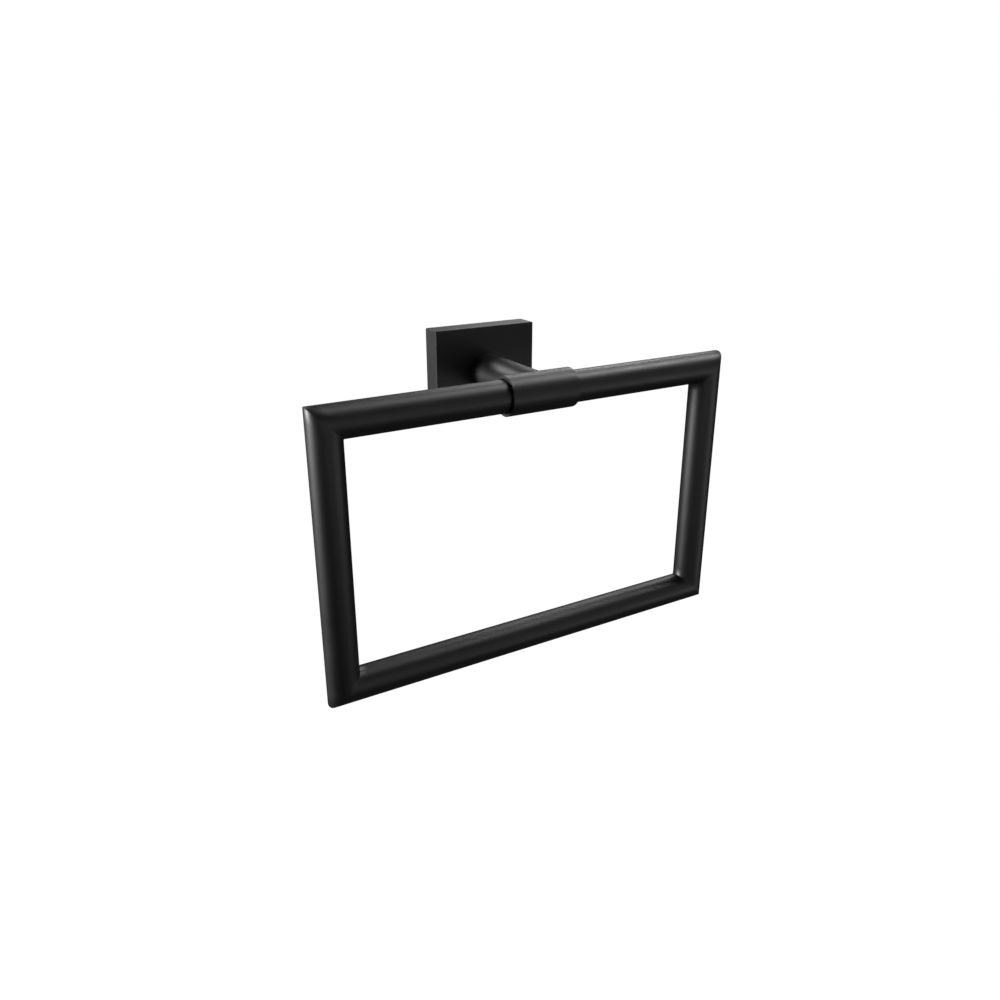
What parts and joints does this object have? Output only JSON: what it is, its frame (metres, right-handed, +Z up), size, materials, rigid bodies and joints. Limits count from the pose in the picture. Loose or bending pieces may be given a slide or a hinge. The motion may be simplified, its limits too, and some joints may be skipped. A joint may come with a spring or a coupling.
{
  "type": "towel ring",
  "caption": "Rectangular wall-mounted towel ring: a mitred ring of round tube held in a short sleeve on a round post, with a rectangular cover plate over a hidden wall bracket.",
  "frame": {"origin": "on the wall plane, behind the middle of the cover plate and in line with the post's axis", "axes": "+X to the right along the ring's bars, +Y into the wall, +Z up; the ring hangs down in front, towards -Y"},
  "size_m": [0.2, 0.0621, 0.1408],
  "materials": {
    "black_powder_coat": "matte black powder coat",
    "plated_steel": "zinc-plated steel",
    "turned_brass": "turned brass, uncoated",
    "blackened_steel": "black-oxide steel"
  },
  "bodies": {
    "root": {"cover_plate": "black_powder_coat", "post": "black_powder_coat", "sleeve": "black_powder_coat", "ring_top_bar": "black_powder_coat", "ring_left_bar": "black_powder_coat", "ring_right_bar": "black_powder_coat", "ring_bottom_bar": "black_powder_coat", "wall_bracket": "plated_steel", "tie_screw": "plated_steel", "tie_washer": "plated_steel", "bar_plug": "turned_brass", "cover_set_screw": "blackened_steel"}
  },
  "joints": []
}
